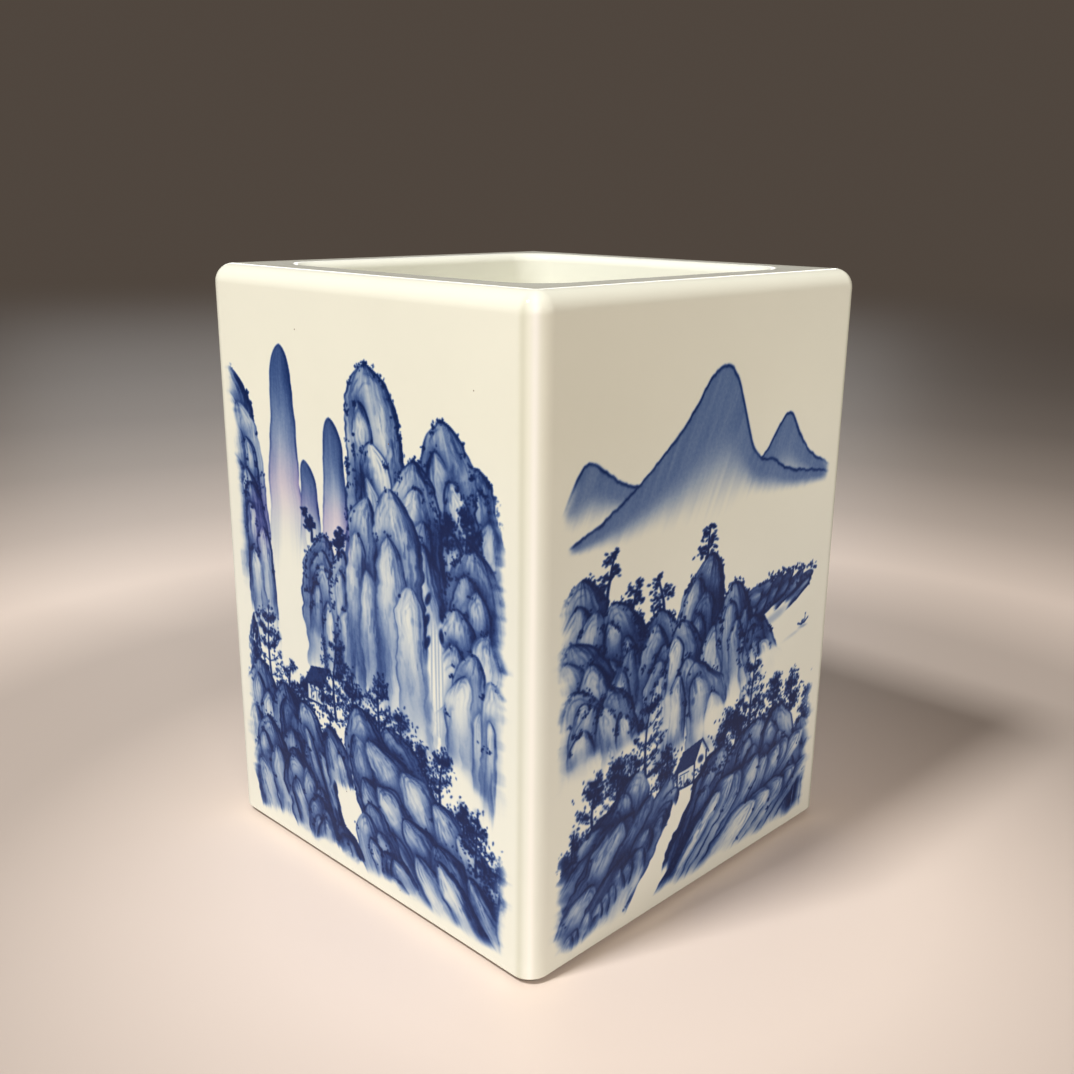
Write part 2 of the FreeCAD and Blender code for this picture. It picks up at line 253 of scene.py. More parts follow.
class Painting:
    """Depths of cobalt, and of the plum tint, over one side. Places are in millimetres."""

    def __init__(self, x, z, seed):
        """x and z are the places of the grid's columns and rows."""
        self.x, self.z = x, z
        self.pitch = x[1] - x[0]
        self.ink = np.zeros((len(z), len(x)))
        self.plum = np.zeros_like(self.ink)
        self.rock = np.zeros_like(self.ink)
        self.random = np.random.default_rng(seed)
        self.count = 0

    def window(self, x_low, x_high, z_low, z_high):
        """The part of the grid inside a box: its slices, and its points' places. None if it misses."""
        i0, i1 = np.searchsorted(self.x, (x_low, x_high))
        j0, j1 = np.searchsorted(self.z, (z_low, z_high))
        if i1 - i0 < 1 or j1 - j0 < 1:
            return None
        return (slice(j0, j1), slice(i0, i1)), self.x[None, i0:i1], self.z[j0:j1, None]

    def lay(self, part, depth):
        """Ink over ink: each layer darkens what is left."""
        self.ink[part] = 1 - (1 - self.ink[part]) * (1 - np.clip(depth, 0, 0.97))

    def oval(self, x, z, wide, high, angle, reach):
        """The part of the grid near a tilted oval, its places, and how far out they are: 1 on its edge."""
        found = self.window(x - reach, x + reach, z - reach, z + reach)
        if not found:
            return None
        part, gx, gz = found
        cos, sin = math.cos(angle), math.sin(angle)
        along = ((gx - x) * cos + (gz - z) * sin) / wide
        up = ((gz - z) * cos - (gx - x) * sin) / high
        return part, gx, gz, np.sqrt(along * along + up * up)

    def dab(self, x, z, long, wide, angle=0.0, depth=0.8):
        """A small oval touch of the brush."""
        found = self.oval(x, z, long, wide, angle, long * 1.4)
        if found:
            part, _, _, far = found
            self.lay(part, depth * (1 - smooth(0.45, 1.3, far)))

    def stroke(self, points, start, end, depth=0.8, soft=0.5):
        """A line through points whose half width runs from start to end."""
        count = len(points) - 1
        for k in range(count):
            (x0, z0), (x1, z1) = points[k], points[k + 1]
            r0 = start + (end - start) * k / count
            r1 = start + (end - start) * (k + 1) / count
            reach = max(r0, r1) * (1 + soft) + self.pitch
            found = self.window(min(x0, x1) - reach, max(x0, x1) + reach,
                                min(z0, z1) - reach, max(z0, z1) + reach)
            if not found:
                continue
            part, gx, gz = found
            dx, dz = x1 - x0, z1 - z0
            share = np.clip(((gx - x0) * dx + (gz - z0) * dz) / max(dx * dx + dz * dz, 1e-9), 0, 1)
            gap = np.hypot(gx - x0 - share * dx, gz - z0 - share * dz)
            radius = r0 + (r1 - r0) * share
            value = depth * (1 - smooth(1 - soft, 1 + soft, gap / np.maximum(radius, 0.04)))
            self.ink[part] = np.maximum(self.ink[part], value)

    def area(self, corners, depth, cover=1.0, soft=0.12):
        """A filled convex shape, corners counter-clockwise."""
        xs, zs = zip(*corners)
        found = self.window(min(xs) - 1, max(xs) + 1, min(zs) - 1, max(zs) + 1)
        if not found:
            return
        part, gx, gz = found
        inside = np.full(np.broadcast_shapes(gx.shape, gz.shape), 9.0)
        for (x0, z0), (x1, z1) in zip(corners, corners[1:] + corners[:1]):
            size = math.hypot(x1 - x0, z1 - z0)
            inside = np.minimum(inside, ((x1 - x0) * (gz - z0) - (z1 - z0) * (gx - x0)) / size)
        mask = smooth(-soft, soft, inside)
        self.ink[part] = self.ink[part] * (1 - mask * cover) + depth * mask

    def wash(self, x, z, wide, high, depth, angle=0.0):
        """A soft cloud of pale ink."""
        found = self.oval(x, z, wide, high, angle, max(wide, high) * 1.1)
        if found:
            part, gx, gz, far = found
            far = far + 0.35 * (noise(gx / 3, gz / 3, self.count) - 0.5)
            self.count += 1
            self.lay(part, depth * (1 - smooth(0.1, 1.0, far)))

    def mist(self, x, z, wide, high, strength=1.0, angle=0.0):
        """Wipes ink away in a soft cloud."""
        found = self.oval(x, z, wide, high, angle, max(wide, high) * 1.1)
        if found:
            part, gx, gz, far = found
            far = far + 0.4 * (noise(gx / 4, gz / 2.5, self.count) - 0.5)
            self.count += 1
            self.ink[part] *= 1 - strength * (1 - smooth(0.35, 1.0, far))

    # ---- rock

    def fold(self, x, z, width, height, angle=0.0, tone=0.75, line=0.85, shade=1, crown=0.75, flare=0.3,
             crag=0.10, mist=0.5, hatch=0.6, halo=0.0, arcs=0.4, moss=0, even=0.0, plum=0.0):
        """One buttress of rock. (x, z) is its top; it runs down at an angle from the upright.

        It is palest down its middle and darkest along its edges and on its shaded side, with arcs
        nested inside its round top and hatching that follows its sides. It is lost in mist below
        the share of its height given by mist. The halo darkens the rock behind its top.
        """
        self.count += 1
        seed = self.count
        down = (math.sin(angle), -math.cos(angle))
        across = (math.cos(angle), math.sin(angle))
        reach = width * (0.75 + flare * 0.6) + 5
        xs, zs = zip(*((x + across[0] * out + down[0] * run, z + across[1] * out + down[1] * run)
                       for out in (-reach, reach) for run in (-5, height * 1.1)))
        found = self.window(min(xs), max(xs), min(zs), max(zs))
        if not found:
            return
        part, gx, gz = found
        # each point's place: off to the side of the middle line, and the run down it
        off = (gx - x) * across[0] + (gz - z) * across[1]
        run = (gx - x) * down[0] + (gz - z) * down[1]
        fallen = run / height
        off = off - 0.16 * width * (noise(run / 7, 0.5, seed) - 0.5) * np.clip(fallen * 4, 0, 1)
        side = np.where(off > 0, 1.0, 0.0)
        wobble = (noise(run / 3.2, side * 7.3, seed + 1) - 0.5) * 1.6
        wobble += (noise(run / 1.1, side * 3.1, seed + 2) - 0.5) * 0.5
        # the outline: a skewed arch over sides that flare
        dome = width * crown
        rise = 1 - np.clip(run / dome, 0.0005, 1)
        skew = (float(noise(seed * 0.37, 0.5, 3)) - 0.5) * 0.9 * width
        off = off + skew * rise ** 1.5
        side = np.where(off > 0, 1.0, 0.0)
        arch = arch_share(rise)
        shape = arch + flare * np.clip(run - dome, 0, None) / height
        half = np.maximum(0.5 * width * shape * (1 + crag * 1.7 * wobble), 0.05)
        slope = 0.65 * width * rise ** 0.8 / (arch ** 0.4 * dome)
        out = off / half
        inner = np.minimum((half - np.abs(off)) / np.sqrt(1 + slope ** 2), run)
        mask = smooth(-0.05, 0.28, inner)
        ragged = fallen + 0.25 * (noise(out * 3.5, 0.3, seed + 3) - 0.5)
        ragged = ragged + 0.08 * (noise(out * 13, 0.7, seed + 4) - 0.5)
        fade = 1 - smooth(mist, 1.0, ragged)
        hides = mask * (1 - smooth(mist + 0.02, 1.02, ragged))
        # the tone: dark edges, a dark side and top, hatched down its length
        dark_side = smooth(-0.5, 1.0, out * shade)
        edge = np.exp(-inner / (0.10 * width + 0.30)) * (0.55 + 0.65 * dark_side)
        broad = noise(gx / 9.0, gz / 9.0, 90)
        fine = noise(out * (2.0 + width * 0.5), run / 6.5, seed + 5)
        finer = noise(out * (5 + width * 1.4), run / 3.0, seed + 6)
        strokes = smooth(0.40, 0.72, fine) * 0.8 + smooth(0.5, 0.8, finer) * 0.5
        top = np.exp(-run / (0.10 * height + 1.2))
        body = tone * (0.03 + 0.46 * edge + 0.36 * dark_side ** 1.5 + 0.16 * top) * (0.35 + 1.1 * broad)
        body = body + even * (1 - 0.75 * smooth(0.0, 0.75, fallen))
        body = body * (1 - hatch * 0.6 + hatch * 1.05 * strokes)
        if halo:
            lean = 1 / np.sqrt(1 + np.minimum(slope, 1.2) ** 2)
            outside = np.hypot(np.clip(np.abs(off) - half, 0, None) * lean, np.clip(-run, 0, None))
            behind = np.exp(-(outside / 1.5) ** 1.3) * (1 - mask) * self.rock[part]
            upper = np.exp(-np.clip(run, 0, None) / (0.35 * height + 2))
            self.lay(part, halo * behind * upper * (0.5 + 0.9 * broad))
        self.ink[part] *= 1 - hides
        self.rock[part] = np.maximum(self.rock[part] * (1 - hides), mask * fade)
        self.lay(part, np.clip(body, 0, 0.95) * mask * fade)
        # broken hatching over the body, and a veil over the foot that leaves the middle pale
        dashes = smooth(0.55, 0.78, noise(off / 0.45, run / 1.8, seed + 11))
        dashes = dashes * smooth(0.3, 0.7, noise(off / 2.2, run / 3.0, seed + 12))
        dashes = dashes * (0.30 + 0.70 * dark_side) * (0.5 + 0.8 * broad)
        self.lay(part, hatch * tone * 0.62 * dashes * mask * fade)
        veil = tone * smooth(0.25, 0.7, fallen) * (1 - smooth(0.8, 1.06, ragged))
        veil = 0.19 * veil * (1 - 0.6 * smooth(0.1, 0.9, 1 - np.abs(out)))
        self.lay(part, np.clip(veil, 0, 1) * mask)
        if arcs:
            ring = inner + 0.9 * (noise(run / 3.0, out * 1.3, seed + 9) - 0.5)
            gap = 0.75 + 0.055 * width
            rings = sum((1 - 0.22 * k) * np.exp(-((ring - k * gap) / 0.24) ** 2) for k in (1, 2, 3))
            rings = rings * smooth(0.2, 0.7, noise(run / 2.2 + 9, out * 1.7, seed + 10))
            self.lay(part, arcs * rings * np.exp(-(run / (0.22 * height + 2.5)) ** 2) * mask)
        broken = smooth(0.10, 0.65, noise(run / 2.6, side * 5.7 + 0.4, seed + 7)) + 0.2
        thick = 0.20 + 0.22 * noise(run / 3.0, side * 2.7, seed + 8)
        outline = line * np.exp(-((inner - 0.2) / thick) ** 2) * broken * (0.6 + 0.4 * dark_side)
        self.lay(part, outline * fade * smooth(-0.1, 0.1, inner))
        if plum:
            band = np.exp(-((fallen - plum) / 0.17) ** 2)
            self.plum[part] = np.maximum(self.plum[part], mask * band * (0.5 + 0.7 * edge))
        for _ in range(moss):
            self.tuft(x, z, width, height, down, across, dome, flare, skew)

    def tuft(self, x, z, width, height, down, across, dome, flare, skew):
        """A little growth on the outline of a fold."""
        r = self.random
        run = height * r.uniform(0.0, 0.6) ** 1.4
        rise = 1 - min(run / dome, 1.0)
        out = 0.5 * width * (arch_share(rise) + flare * max(run - dome, 0) / height)
        out = max(out - abs(r.normal(0, 0.5)), 0) * r.choice((-1, 1)) - skew * rise ** 1.5
        root_x = x + across[0] * out + down[0] * run
        root_z = z + across[1] * out + down[1] * run
        size = r.uniform(0.5, 1.2)
        for _ in range(r.integers(3, 8)):
            jx, jz = r.normal(0, 0.45 * size), abs(r.normal(0, 0.6 * size)) - 0.3
            leaf = r.uniform(0.22, 0.42)
            self.dab(root_x + jx, root_z + jz, leaf, leaf * 0.6, r.uniform(0, 3), r.uniform(0.5, 0.95))

    def crag(self, x, z, width, height, count, angle=0.0, tone=0.75, moss=10, mist=0.55, shade=1, **more):
        """A mass of rock: one outer fold, with narrower folds overlapping down its face."""
        r = self.random
        self.fold(x, z, width, height, angle, tone=tone, moss=moss, mist=mist, shade=shade, **more)
        down = (math.sin(angle), -math.cos(angle))
        for k in range(count):
            share = (k + 0.6) / (count + 0.6)
            off = width * r.uniform(0.02, 0.34) * (0.5 + 0.9 * share) * (1 if k % 2 else -1)
            drop = height * (0.05 + 0.5 * share) + r.uniform(-1, 1)
            slim = width * r.uniform(0.35, 0.8)
            short = height * r.uniform(0.5, 0.95) * (1.1 - 0.5 * share)
            look = {"line": r.uniform(0.45, 1.0), "crown": r.uniform(0.6, 1.0), "halo": r.uniform(0.2, 0.5),
                    "shade": shade if r.random() < 0.75 else -shade}
            look.update(more)
            self.fold(x + off * math.cos(angle) + down[0] * drop, z + off * math.sin(angle) + down[1] * drop,
                      slim, short, angle + r.uniform(-0.08, 0.08), tone=tone * r.uniform(0.75, 1.2),
                      moss=moss // 4, mist=mist, **look)

    def ribs(self, start, end, count, width, length, angle, tone=0.8, shade=1, mist=0.85):
        """Long ribs of rock laid side by side down a crest from one point to another."""
        r = self.random
        for k in range(count):
            share = (k + r.uniform(-0.3, 0.3)) / (count - 1)
            x = start[0] + (end[0] - start[0]) * share
            z = start[1] + (end[1] - start[1]) * share + r.uniform(-1.5, 1.0)
            self.fold(x, z, width * r.uniform(0.6, 1.25), length * r.uniform(0.7, 1.15),
                      angle + r.uniform(-0.07, 0.07), tone=tone * r.uniform(0.8, 1.2),
                      line=r.uniform(0.5, 1.0), crown=r.uniform(0.6, 1.1), halo=r.uniform(0.3, 0.65),
                      shade=shade, mist=mist, flare=0.15, moss=3)

    # ---- far hills

    def far_hill(self, ridge, low, depth=0.355, line=0.75, slant=0.5):
        """A far hill: a ridge through points, a flat wash below it and white mist under that."""
        xs, zs = np.array(ridge, float).T
        low_xs, low_zs = np.array(low, float).T
        part, gx, gz = self.window(xs[0], xs[-1], low_zs.min() - 8, zs.max() + 1)
        flat = gx[0]
        kernel = np.exp(-(np.arange(-16, 17) * self.pitch / 1.7) ** 2)
        padded = np.pad(np.interp(flat, xs, zs), 16, mode="edge")
        top = np.convolve(padded, kernel / kernel.sum(), mode="valid")
        top = top + 0.45 * (noise(flat / 1.5, 0.2, 3) - 0.5) + 0.25 * (noise(flat / 0.6, 0.8, 4) - 0.5)
        bottom = np.interp(flat, low_xs, low_zs)
        slope = np.gradient(top, self.pitch)
        below = (top - gz) / np.sqrt(1 + slope ** 2)
        streak = gx - slant * gz
        lines = noise(streak / 1.1, gz / 14, 11) + 0.5 * noise(streak / 0.45, gz / 9, 12)
        fallen = (top - gz) / np.maximum(top - bottom, 1.0) + 0.10 * (lines - 0.75)
        mask = smooth(-0.05, 0.25, below)
        fade = 1 - smooth(0.42, 1.15, fallen)
        ends = smooth(0, 2.5, flat - xs[0]) * (1 - smooth(-2.5, 0, flat - xs[-1]))
        self.ink[part] *= 1 - mask * (1 - smooth(0.9, 1.3, fallen)) * ends
        tone = depth * (1.06 - 0.12 * np.clip(fallen, 0, 1)) * (0.89 + 0.15 * lines)
        self.lay(part, tone * mask * fade * ends)
        width = 0.22 + 0.12 * noise(flat / 3, 0.1, 5)
        rim = line * np.exp(-((below - 0.22) / width) ** 2)
        self.lay(part, rim * (0.55 + 0.6 * noise(flat / 2.5, 0.6, 6)) * ends)

    def promontory(self, x0, z0, x1, z1):
        """A long low headland: rocks lying along it, one behind another, with growth along its top."""
        r = self.random
        for k in range(15):
            share = k / 14
            x, z = x1 + (x0 + 5 - x1) * share, z1 + (z0 - z1) * share + 2.6 * math.sin(2.6 * share)
            for _ in range(8):
                self.dab(x + r.normal(0, 0.9), z + 0.3 + abs(r.normal(0, 0.6)), r.uniform(0.3, 0.55), 0.25,
                         r.uniform(0, 3), r.uniform(0.5, 0.95))
        for k in range(6):
            share = k / 5
            x, z = x1 + (x0 + 8 - x1) * share, z1 + (z0 - z1) * share + 2.2 * math.sin(2.6 * share) - 0.4
            for drop in (0.0, 1.5 + 1.6 * share):
                self.fold(x - 0.6 * drop, z - drop, 2.2 + 2.6 * share, 11 + 3 * share, r.uniform(-1.4, -1.15),
                          tone=r.uniform(0.9, 1.2), crown=1.0, mist=0.8, halo=0.5, arcs=0.2, moss=3)

    def fall(self, x, top, low, wide):
        """A fall of water: a white drop between dark hollows, with thin threads in it."""
        self.mist(x, (top + low) / 2, wide * 1.5, (top - low) * 0.6, 1.0)
        for k in (-1, 0, 1, 2):
            drift = self.random.uniform(-0.4, 0.4)
            line = [(x + k * wide * 0.4 + drift * f, top - 3 + (low - top + 3) * f)
                    for f in np.linspace(0, 1, 6)]
            self.stroke(line, 0.30, 0.12, 0.20, soft=0.9)
        for k in range(5):
            side = 1 if k % 2 else -1
            hollow = x + side * wide * self.random.uniform(0.5, 1.0)
            self.dab(hollow, top + 1.5 - 2.2 * k, 1.6, 0.7, 1.4 + 0.3 * side, 0.9)

    def plum_cloud(self, x, z, wide, high):
        """A soft breath of plum over what is painted."""
        part, gx, gz = self.window(x - wide, x + wide, z - high, z + high)
        far = np.sqrt(((gx - x) / wide) ** 2 + ((gz - z) / high) ** 2)
        tint = (1 - smooth(0.2, 1.0, far)) * smooth(0.05, 0.4, self.ink[part])
        self.plum[part] = np.maximum(self.plum[part], tint)

    # ---- trees and small things

    def leafy(self, x, z, height, lean=0.0, bushy=1.0, depth=0.85, leaf=0.40, crown=0.30):
        """A tree with a thin bent trunk, side branches and small clusters of dabbed leaves."""
        r = self.random
        sway = r.uniform(-0.07, 0.07) * height
        bend = r.uniform(2.5, 4.5)
        trunk = [(x + lean * f * height + sway * math.sin(f * bend), z + f * height)
                 for f in np.linspace(0, 1, 7)]
        self.stroke(trunk, 0.42, 0.12, depth)
        clusters = [trunk[-1], trunk[-2]]
        for k in range(int(10 * bushy)):
            f = r.uniform(0.05, 1.0)
            base = trunk[min(int(f * 6), 6)]
            side = 1 if k % 2 else -1
            size = height * crown * (1.1 - 0.7 * f) * r.uniform(0.5, 1.1)
            up = r.uniform(0.25, 0.9)
            tip = (base[0] + side * size, base[1] + size * up)
            middle = (base[0] + side * size * 0.5, base[1] + size * up * 0.3)
            self.stroke([base, middle, tip], 0.14, 0.07, depth * 0.75)
            clusters += [tip, middle]
        for cx, cz in clusters:
            self.wash(cx, cz, 1.6, 1.2, 0.16)
            heavy = r.uniform(0.6, 1.05)
            for _ in range(int(r.integers(7, 13))):
                jx, jz = r.normal(0, 0.70, 2)
                size = leaf * r.uniform(0.6, 1.2)
                self.dab(cx + jx, cz + jz * 0.8, size, size * 0.6, r.uniform(0, math.pi),
                         depth * heavy * r.uniform(0.6, 1.1))

    def cypress(self, x, z, height, width):
        """A narrow dark evergreen, dabbed upright."""
        r = self.random
        for _ in range(int(16 * height)):
            f = r.uniform(0, 1)
            out = width * 0.5 * (math.sin(math.pi * min(f * 0.9 + 0.12, 1)) ** 0.6) * r.uniform(-1, 1)
            self.dab(x + out, z + f * height, r.uniform(0.5, 0.9), 0.32, math.pi / 2 + r.normal(0, 0.3),
                     r.uniform(0.35, 0.8))

    def scrub(self, x, z, count, wide, high=0.8, depth=0.8):
        """Low growth along a ledge."""
        r = self.random
        for _ in range(count):
            jx, jz = r.normal(0, wide * 0.5), abs(r.normal(0, high * 0.6))
            self.dab(x + jx, z + jz, r.uniform(0.28, 0.55), r.uniform(0.18, 0.3), r.uniform(0, 3.1),
                     depth * r.uniform(0.6, 1.1))

    def windswept(self, x, z, height, lean, depth=0.9):
        """A small pine bent over by the wind, its needles in flat dark clumps one above another."""
        r = self.random
        points = [(x, z - 1)]
        for k in range(1, 7):
            f = k / 6
            points.append((x + lean * height * f ** 1.6 + 0.25 * math.sin(5 * f), z + height * f))
        self.stroke(points, 0.42, 0.2, depth)
        for k in range(6):
            f = 0.38 + 0.62 * k / 5
            base = points[min(int(f * 6), 6)]
            side = (1 if k % 2 else -1) if k < 5 else 0
            wide = height * r.uniform(0.16, 0.26) * (1.25 - 0.6 * f)
            cx, cz = base[0] + side * wide * 1.1, base[1] + r.uniform(-0.02, 0.05) * height
            self.stroke([base, (cx, cz)], 0.16, 0.1, depth * 0.9)
            for _ in range(16):
                self.dab(cx + r.normal(0, wide * 0.55), cz + r.normal(0.1, 0.07 * height),
                         r.uniform(0.4, 0.7), 0.26, r.uniform(-0.5, 0.5), depth * r.uniform(0.6, 1.0))

    def house(self, x, z, size, flip=1):
        """A white-walled hut with a dark ridged roof and a round window."""
        def at(a, b):
            """A place from one in sizes of the hut."""
            return (x + flip * a * size, z + b * size)

        def shape(points, depth):
            """A filled patch, its corners in sizes of the hut."""
            corners = [at(*p) for p in points]
            if flip < 0:
                corners = corners[::-1]
            self.area(corners, depth)

        shape([(-0.9, 0), (0.35, 0), (0.35, 1.0), (-0.9, 1.0)], 0.06)
        shape([(0.35, 0), (1.2, 0.25), (1.2, 1.15), (0.78, 1.9), (0.35, 1.0)], 0.02)
        shape([(-1.15, 0.9), (0.30, 0.95), (0.80, 1.95), (-0.55, 1.75)], 0.72)
        edges = (((-0.55, 1.75), (0.86, 2.0)), ((0.86, 2.0), (1.4, 1.2)), ((-1.2, 0.86), (0.32, 0.94)),
                 ((0.32, 0.94), (0.82, 1.95)), ((0.35, 1.0), (0.35, 0.0)), ((1.2, 1.35), (1.2, 0.25)),
                 ((-0.9, 0.95), (-0.9, 0.0)), ((-0.9, 0.02), (0.35, 0.0)))
        for a, b in edges:
            self.stroke([at(*a), at(*b)], 0.2, 0.16, 0.85)
        self.dab(*at(0.8, 1.02), 0.22 * size, 0.2 * size, 0, 0.7)
        for a in (-0.62, -0.4, -0.18):
            self.stroke([at(a, 0.1), at(a, 0.62)], 0.08, 0.08, 0.55)
        self.stroke([at(-0.72, 0.68), at(-0.05, 0.68)], 0.1, 0.1, 0.6)

    def boat(self, x, z, size=1.0):
        """A small boat: its hull, its cover, a boatman and a streak of water under it."""
        hull = [(x - 1.8 * size, z + 0.15), (x - 0.6, z - 0.3), (x + 0.8, z - 0.1), (x + 1.9 * size, z + 0.8)]
        self.stroke(hull, 0.18, 0.16, 0.75)
        self.area([(x - 0.7, z - 0.1), (x + 0.6, z), (x + 0.4, z + 0.75), (x - 0.5, z + 0.65)], 0.55)
        self.stroke([(x + 0.9, z), (x + 0.95, z + 1.9)], 0.12, 0.09, 0.8)
        self.dab(x + 0.95, z + 1.95, 0.2, 0.2, 0, 0.8)
        self.wash(x, z - 0.9, 2.4, 0.5, 0.2)

    def finish(self):
        """Softens the ink as fired glaze does, and stops it short of the panel's edges."""
        kernel = np.exp(-(np.arange(-3, 4) * self.pitch / 0.16) ** 2)
        kernel /= kernel.sum()
        for axis in (0, 1):
            self.ink = np.apply_along_axis(np.convolve, axis, self.ink, kernel, mode="same")
        gx, gz = self.x[None, :], self.z[:, None]
        margin = np.minimum(gx - self.x[0], self.x[-1] - gx)
        margin = margin + 1.8 * (noise(gz / 3.0, np.sign(gx), 5) - 0.5)
        margin = margin + 1.0 * (noise(gz / 0.9, np.sign(gx), 6) - 0.5)
        foot = gz - self.z[0] + 2.0 * (noise(gx / 3, 0.5, 8) - 0.5)
        self.ink += 0.45 * (smooth(0, 0.88, self.ink) - self.ink)
        self.ink *= smooth(0.2, 4.6, margin) * smooth(0.3, 3.6, foot)
        self.plum *= smooth(0.2, 4.6, margin)
        return self.ink, self.plum


NEAR_BANK = dict(moss=18, mist=0.85, tone=0.8, flare=0.1)
PALE_ROCK = dict(mist=0.2, line=0.45, arcs=0.2)


def trees(p, rows):
    """Leafy trees, each a root, a height and how bushy it is."""
    for x, z, height, bushy in rows:
        p.leafy(x, z, height, lean=0.04, bushy=bushy)


def scrubs(p, rows):
    """Low growth, each run a place, a number of touches, a width and a height."""
    for row in rows:
        p.scrub(*row)


def rocks(p, rows, **look):
    """Masses of rock, each a top, a width, a height, an angle and a number of inner folds."""
    for x, z, width, height, angle, count in rows:
        p.crag(x, z, width, height, count, angle=angle, **look)


def front(p):
    """Needle peaks on the left, a great cliff on the right, a long ridge of boulders across the foot."""
    needle = dict(line=0.5, crown=0.9, crag=0.03, hatch=0.1, even=0.46, arcs=0)
    p.fold(-24, 115, 7.5, 46, tone=0.35, flare=1.1, mist=0.3, plum=0.62, **needle)
    p.fold(-6.5, 102, 6.4, 32, tone=0.35, flare=0.8, mist=0.35, plum=0.66, **needle)
    p.fold(-15.5, 92, 5.4, 22, tone=0.25, flare=0.9, mist=0.4, plum=0.4, **needle)
    rocks(p, ((-42, 109, 12, 46, 0.10, 6), (-37, 84, 8, 34, 0.12, 3)), moss=26, tone=1.12, mist=0.45)
    p.plum_cloud(-34, 76, 7, 12)
    rocks(p, ((35, 99, 12, 34, 0.10, 3), (26, 106, 15, 46, 0.14, 4)), moss=34, tone=0.92, mist=0.4)
    rocks(p, ((6, 114, 17, 66, 0.04, 4), (16, 97, 14, 40, 0.2, 3)), moss=44, tone=0.98, mist=0.45)
    rocks(p, ((-13, 77, 12, 32, 0.06, 4), (-5, 75, 9, 32, 0.06, 2)), moss=34, mist=0.3, tone=1.25)
    rocks(p, ((2, 88, 10, 42, 0.02, 2), (13, 91, 14, 52, 0.04, 2)), moss=6, tone=0.9, **PALE_ROCK)
    rocks(p, ((35, 84, 18, 42, 0.02, 5),), moss=34, tone=0.92, mist=0.4)
    rocks(p, ((33, 64, 10, 32, 0.0, 2), (41, 60, 8, 30, 0.0, 1)), moss=6, tone=0.9, **PALE_ROCK)
    trees(p, ((28, 82, 7, 1.1), (33, 83, 8, 1.2)))
    p.windswept(-15, 76, 5, -0.4)
    p.windswept(-6, 74, 5, 0.3)
    p.fall(24.0, 70, 44, 2.4)
    # mist lies between the cliffs and the near bank
    p.mist(-30, 50, 9, 8, 0.8)
    p.mist(-10, 44, 12, 5, 0.85)
    p.mist(30, 34, 12, 7, 0.95, -0.4)
    # the near bank
    p.cypress(-39.5, 36, 16, 5.2)
    trees(p, ((-33, 36, 20, 2.4), (-26, 34, 11, 1.6), (-21, 34, 8, 1.4)))
    p.scrub(-20, 35, 120, 12, 4)
    p.house(-15, 38, 4.6)
    rocks(p, ((-39, 42, 14, 30, 0.15, 3), (-29, 39, 15, 34, 0.30, 4)),
          moss=20, mist=0.85, tone=1.25, flare=0.1)
    rocks(p, ((-38, 28, 15, 22, 0.25, 3), (-21, 37, 9, 32, 0.34, 2), (-26, 24, 14, 20, 0.35, 4),
              (-18, 15, 12, 12, 0.3, 4)), moss=12, mist=0.85, tone=1.25, flare=0.1)
    # the long ridge, its trees first
    trees(p, ((-9, 36, 20, 2.4), (-3, 38, 11, 1.6), (6, 38, 13, 1.8), (13, 34, 11, 1.6), (19, 31, 9, 1.4)))
    scrubs(p, ((-11, 39, 110, 9, 4), (8, 39, 90, 13, 4), (20, 32, 70, 10, 4)))
    rocks(p, ((-12, 34, 9, 14, 0.3, 2), (9, 41, 12, 40, 0.52, 2), (-2, 42, 15, 38, 0.34, 2)),
          moss=18, mist=0.85, tone=1.12, flare=0.15)
    trees(p, ((25, 27, 14, 1.8), (31, 22, 10, 1.6)))
    p.scrub(30, 24, 80, 10, 4)
    p.ribs((5, 38), (38, 22), 5, 12, 46, 0.64, tone=1.25)
    trees(p, ((35, 18, 14, 1.8), (41, 11, 13, 1.6)))
    p.scrub(37, 18, 70, 9, 4)
    p.ribs((0, 28), (40, 14), 6, 10, 48, 0.70, tone=1.35)
    p.ribs((6, 16), (26, 16), 3, 9, 30, 0.74, tone=1.4)
    rocks(p, ((0, 20, 13, 20, 0.5, 3), (6, 11, 11, 12, 0.75, 3), (-8, 12, 8, 9, 0.4, 2)),
          moss=10, mist=0.9, tone=1.25)


